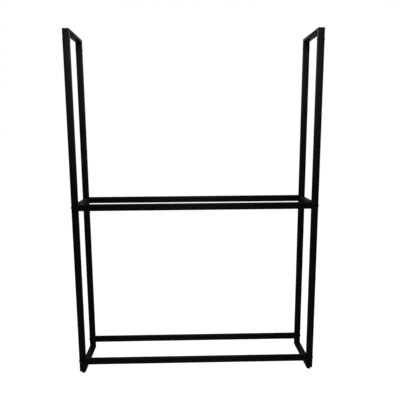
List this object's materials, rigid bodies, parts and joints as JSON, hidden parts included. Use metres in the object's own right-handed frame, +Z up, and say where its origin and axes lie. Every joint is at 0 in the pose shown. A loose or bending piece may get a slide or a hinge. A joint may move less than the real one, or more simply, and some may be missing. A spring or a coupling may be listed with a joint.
{
  "type": "firewood log rack",
  "caption": "Tall narrow open rack of black rectangular steel tube that stacks split logs on two levels between ladder-shaped side frames.",
  "frame": {"origin": "on the floor under the middle of the rack, at the bottom centre of its bounding box", "axes": "+Z up, +Y towards the rear, -Y towards the front that is loaded, +X towards the right side frame seen from the front"},
  "size_m": [1.106, 0.255, 1.547],
  "materials": {
    "powder_coat": "fine-textured matte black powder coat",
    "black_oxide_steel": "black oxide",
    "zinc_steel": "zinc plated",
    "black_plastic": "matte moulded"
  },
  "bodies": {
    "rack": {"left_front_post": "powder_coat", "left_rear_post": "powder_coat", "left_top_rail": "powder_coat", "left_mid_rail": "powder_coat", "left_bottom_rail": "powder_coat", "right_front_post": "powder_coat", "right_rear_post": "powder_coat", "right_top_rail": "powder_coat", "right_mid_rail": "powder_coat", "right_bottom_rail": "powder_coat", "front_shelf_rail": "powder_coat", "front_base_rail": "powder_coat", "rear_shelf_rail": "powder_coat", "rear_base_rail": "powder_coat", "front_shelf_rail_left_insert": "zinc_steel", "left_front_shelf_bolt": "black_oxide_steel", "front_shelf_rail_right_insert": "zinc_steel", "right_front_shelf_bolt": "black_oxide_steel", "front_base_rail_left_insert": "zinc_steel", "left_front_base_bolt": "black_oxide_steel", "front_base_rail_right_insert": "zinc_steel", "right_front_base_bolt": "black_oxide_steel", "rear_shelf_rail_left_insert": "zinc_steel", "left_rear_shelf_bolt": "black_oxide_steel", "rear_shelf_rail_right_insert": "zinc_steel", "right_rear_shelf_bolt": "black_oxide_steel", "rear_base_rail_left_insert": "zinc_steel", "left_rear_base_bolt": "black_oxide_steel", "rear_base_rail_right_insert": "zinc_steel", "right_rear_base_bolt": "black_oxide_steel", "left_front_outer_plug": "black_plastic", "left_front_inner_plug": "black_plastic", "left_rear_outer_plug": "black_plastic", "left_rear_inner_plug": "black_plastic", "right_front_outer_plug": "black_plastic", "right_front_inner_plug": "black_plastic", "right_rear_outer_plug": "black_plastic", "right_rear_inner_plug": "black_plastic", "left_front_foot_nut": "zinc_steel", "left_rear_foot_nut": "zinc_steel", "right_front_foot_nut": "zinc_steel", "right_rear_foot_nut": "zinc_steel"},
    "left_front_foot": {"left_front_foot_pad": "black_plastic", "left_front_foot_stud": "zinc_steel"},
    "left_rear_foot": {"left_rear_foot_pad": "black_plastic", "left_rear_foot_stud": "zinc_steel"},
    "right_front_foot": {"right_front_foot_pad": "black_plastic", "right_front_foot_stud": "zinc_steel"},
    "right_rear_foot": {"right_rear_foot_pad": "black_plastic", "right_rear_foot_stud": "zinc_steel"}
  },
  "joints": [
    {"name": "left_front_foot_slide", "type": "slide", "parent": "rack", "child": "left_front_foot", "axis": [0, 0, -1], "range_m": [0, 0.006]},
    {"name": "left_rear_foot_slide", "type": "slide", "parent": "rack", "child": "left_rear_foot", "axis": [0, 0, -1], "range_m": [0, 0.006]},
    {"name": "right_front_foot_slide", "type": "slide", "parent": "rack", "child": "right_front_foot", "axis": [0, 0, -1], "range_m": [0, 0.006]},
    {"name": "right_rear_foot_slide", "type": "slide", "parent": "rack", "child": "right_rear_foot", "axis": [0, 0, -1], "range_m": [0, 0.006]}
  ]
}
